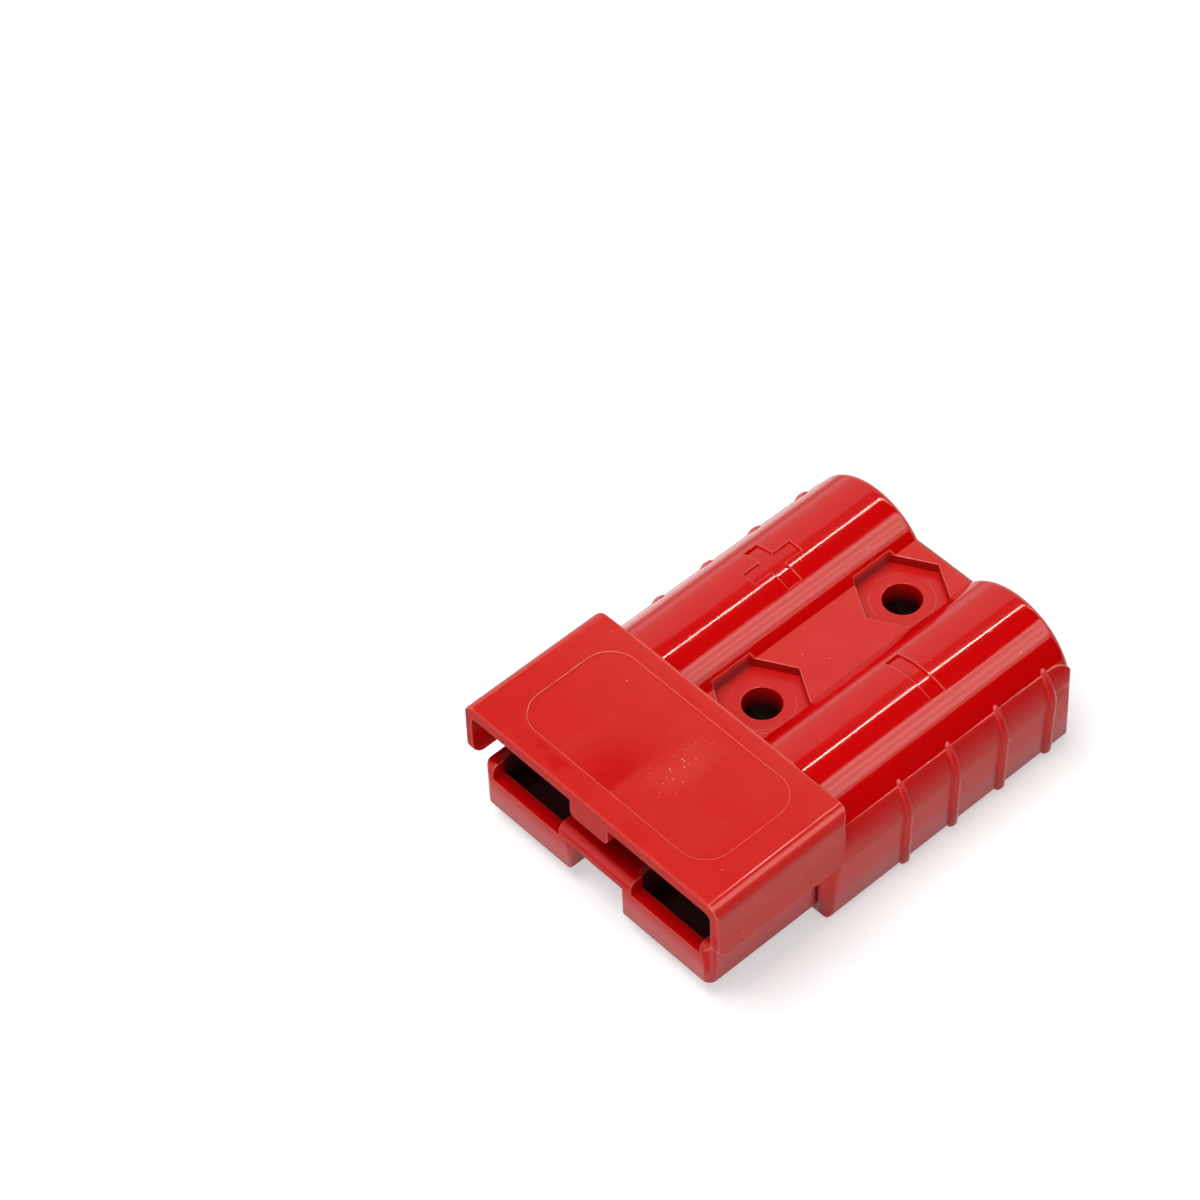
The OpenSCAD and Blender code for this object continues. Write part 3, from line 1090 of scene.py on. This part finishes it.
@dataclass(frozen=True)
class Card:
    """A flat board that only reflections show, as the boards and boxes round a studio table."""

    name: str
    low: Point
    high: Point
    level: float
    streaks: float = 0.0
    streak_scale: float = 42.0
    streak_stretch: float = 0.03
    colour: Colour = (1.0, 0.93, 0.82, 1.0)

    def corners(self) -> list[Point]:
        """Find the board's corners, from its low and high corner.

        Returns:
            Four points round a board that lies flat, or that stands where both X are the same.
        """
        (x0, y0, z0), (x1, y1, z1) = self.low, self.high
        if x0 == x1:
            return [(x0, y0, z0), (x0, y1, z0), (x0, y1, z1), (x0, y0, z1)]
        return [(x0, y0, z0), (x1, y0, z0), (x1, y1, z0), (x0, y1, z0)]

    def build(self) -> None:
        """Make the card."""
        mesh = bpy.data.meshes.new(self.name)
        mesh.from_pydata(self.corners(), [], [(0, 1, 2, 3)])
        material, bench = blank_material(self.name)
        light = {"Color": self.colour, "Strength": self.strength(bench)}
        glow = bench.add("ShaderNodeEmission", light)
        bench.add("ShaderNodeOutputMaterial", {0: glow.outputs[0]})
        card = new_piece(self.name, mesh, material)
        for ray in ("camera", "diffuse", "shadow", "transmission"):
            setattr(card, f"visible_{ray}", False)

    def strength(self, bench: NodeBench) -> float | Socket:
        """Find the board's brightness, with soft streaks along Y where it has them.

        Args:
            bench: adds nodes to the board's material.

        Returns:
            The plain level, or a socket.
        """
        if not self.streaks:
            return self.level
        place = bench.add("ShaderNodeTexCoord").outputs["Object"]
        drawn = bench.add(
            "ShaderNodeVectorMath",
            {0: place, 1: (1.0, self.streak_stretch, 0.0)},
            operation="MULTIPLY",
        )
        noise = bench.add(
            "ShaderNodeTexNoise",
            {"Vector": drawn.outputs[0], "Scale": self.streak_scale, "Detail": 2.0},
        )
        low, high = self.level * (1.0 - self.streaks), self.level * (1.0 + self.streaks)
        return bench.ramp(noise.outputs[0], 0.35, 0.65, low, high)


@dataclass
class Studio:
    """A pale table in soft light, with boards round it for the reflections."""

    floor_half: float = 3.0
    floor_grey: float = 0.70
    floor_glow: float = 0.44
    fade_start: float = 0.12
    fade_end: float = 0.6
    world_level: float = 0.40
    lamp_aim: Point = (0.0, 0.0, 0.01)
    board_height: float = 0.6
    board_front: float = -0.6
    board_split: float = 0.318
    board_rear: float = 1.5
    wall_x: float = 0.95

    def build(self) -> None:
        """Make the floor, the world, the lamps and the cards."""
        self.floor()
        self.world()
        for lamp in self.lamps():
            lamp.build()
        for card in (*self.ceiling(), *self.surround()):
            card.build()

    def seen(self, bench: NodeBench) -> Socket:
        """Tell the rays that show the background from the rays that carry light.

        Args:
            bench: adds nodes to the tree.

        Returns:
            1 for rays from the camera, a reflection or glass, and 0 for others.
        """
        path = bench.add("ShaderNodeLightPath").outputs
        both = bench.math("ADD", path["Is Camera Ray"], path["Is Glossy Ray"])
        return bench.math("ADD", both, path["Is Transmission Ray"], clamp=True)

    def floor(self) -> None:
        """Make the floor, pale near the connector and white further off."""
        half = self.floor_half
        corners = [(-half, -half, 0.0), (half, -half, 0.0), (half, half, 0.0), (-half, half, 0.0)]
        mesh = bpy.data.meshes.new("table")
        mesh.from_pydata(corners, [], [(0, 1, 2, 3)])
        material, bench = blank_material("table")
        board = bench.add("ShaderNodeBsdfDiffuse", {"Color": grey(self.floor_grey)})
        place = bench.add("ShaderNodeTexCoord").outputs["Object"]
        away = bench.add("ShaderNodeVectorMath", {0: place}, operation="LENGTH").outputs["Value"]
        level = bench.ramp(away, self.fade_start, self.fade_end, self.floor_glow, 1.0)
        strength = bench.math("MULTIPLY", self.seen(bench), level)
        glow = bench.add("ShaderNodeEmission", {"Color": WHITE, "Strength": strength})
        both = bench.add("ShaderNodeAddShader", {0: board.outputs[0], 1: glow.outputs[0]})
        bench.add("ShaderNodeOutputMaterial", {0: both.outputs[0]})
        new_piece("table", mesh, material)

    def world(self) -> None:
        """Light the scene evenly, and show white behind it."""
        world = bpy.data.worlds.new("studio")
        bpy.context.scene.world = world
        world.use_nodes = True
        world.node_tree.nodes.clear()
        bench = NodeBench(world.node_tree)
        shown = bench.math("MULTIPLY", self.seen(bench), 1.0 - self.world_level)
        strength = bench.math("ADD", self.world_level, shown)
        sky = bench.add("ShaderNodeBackground", {"Color": WHITE, "Strength": strength})
        bench.add("ShaderNodeOutputWorld", {0: sky.outputs[0]})

    def lamps(self) -> tuple[Lamp, ...]:
        """List a wide lamp overhead and a weaker one low in front on the right."""
        return (
            Lamp("overhead", (-0.16, -0.16, 0.78), self.lamp_aim, 0.5, 0.5, 5.6),
            Lamp("fill", (0.36, -0.42, 0.28), self.lamp_aim, 0.4, 0.4, 1.4),
        )

    def flat(self, name: str, x: Span, level: float, z: float, y: Span | None = None) -> Card:
        """Describe a board that lies flat, over the boards' whole run where no Y is given."""
        front, rear = y or (self.board_front, self.board_rear)
        return Card(name, (x[0], front, z), (x[1], rear, z), level)

    def ceiling(self) -> Iterable[Card]:
        """List the boards overhead, from left to right.

        Returns:
            Dark and pale boards on the left, a bright strip, dark boards and a soft box.
        """
        top = self.board_height
        near = (self.board_front, self.board_split)
        far = (self.board_split, self.board_rear)
        left, gap = (-4.0, -0.32), (-0.32, -0.118)
        yield self.flat("ceiling_front", left, 0.09, top, near)
        yield self.flat("ceiling_rear", left, 0.85, top, far)
        yield self.flat("gap_front", gap, 0.09, top, near)
        yield self.flat("gap_rear", gap, 0.30, top, far)
        yield self.flat("strip", (-0.112, -0.094), 34.0, top - 0.01)
        yield self.flat("gap_middle", (-0.118, 0.235), 0.02, top)
        box = self.flat("soft_box", (0.235, 0.66), 3.2, top)
        yield replace(box, streaks=0.34)
        box_edge = self.flat("soft_box_edge", (0.66, 0.78), 1.8, top)
        yield replace(box_edge, streaks=0.3)
        yield self.flat("gap_right", (0.78, 3.0), 0.0, top)

    def surround(self) -> Iterable[Card]:
        """List the wall on the right, and the sheets just over the table that the sides mirror.

        Returns:
            A dark wall, and sheets that are dark on the right and paler near the connector.
        """
        sheet, near_sheet = 0.6 * MM, 0.4 * MM
        wall_foot = (self.wall_x, self.board_front, 0.0)
        wall_top = (self.wall_x, self.board_rear, self.board_height)
        yield Card("wall_right", wall_foot, wall_top, 0.0)
        yield self.flat("table_right", (0.10, self.wall_x), 0.0, sheet)
        yield self.flat("table_shade", (0.045, 0.10), 0.30, sheet)
        yield self.flat("table_half", (0.030, 0.045), 0.45, sheet)
        yield self.flat("table_near", (0.0192, 0.030), 0.6, near_sheet, (-0.024, 0.03))
        yield self.flat("table_front", (-0.03, 0.02), 0.26, near_sheet, (-0.06, -0.0262))
        yield self.flat("table_left", (-1.2, -0.06), 0.55, sheet)


@dataclass(frozen=True)
class ProductCamera:
    """The camera over the connector's front right corner, with its lengths in millimetres."""

    mating_face: float
    azimuth: float = 49.3079
    elevation: float = 49.0933
    roll: float = -2.6532
    lens: float = 143.738
    sensor: float = 36.0
    offset: Point = (-0.74006, -29.89034, 468.07675)

    def build(self) -> None:
        """Make the camera and make it the scene's."""
        turn, rise, roll = (math.radians(a) for a in (self.azimuth, self.elevation, self.roll))
        level = Vector((math.cos(turn), math.sin(turn), 0.0))
        away = Vector((math.sin(turn), -math.cos(turn), 0.0))
        back = away * math.cos(rise) + Vector((0.0, 0.0, math.sin(rise)))
        upright = back.cross(level)
        right = level * math.cos(roll) + upright * math.sin(roll)
        up = upright * math.cos(roll) - level * math.sin(roll)
        along, above, distance = self.offset
        face = Vector((0.0, self.mating_face, 0.0))
        place = (back * distance - right * along - up * above + face) * MM
        data = bpy.data.cameras.new("camera")
        data.lens = self.lens
        data.sensor_width = self.sensor
        data.clip_start = 0.01
        data.clip_end = 20.0
        camera = bpy.data.objects.new("camera", data)
        bpy.context.scene.collection.objects.link(camera)
        turned = Matrix((right, up, back)).transposed().to_4x4()
        camera.matrix_world = Matrix.Translation(place) @ turned
        bpy.context.scene.camera = camera


def main() -> None:
    """Build the dressed connector, the studio and the camera."""
    logging.basicConfig(level=logging.INFO, format="%(name)s %(levelname)s %(message)s")
    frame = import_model()
    bpy.context.scene.view_settings.view_transform = "Standard"
    plan = HousingPlan.from_frame(frame["record"])
    ProductCamera(plan.mating_face / MM).build()
    Studio().build()
    plastic = RedPlastic(plan).build()
    steel = SpringSteel().build()
    HousingShell(frame["nodes"]["housing"], plastic).build()
    GripRibs(plastic).build()
    ContactSprings(frame["nodes"], steel).dress()


if __name__ == "__main__":
    main()
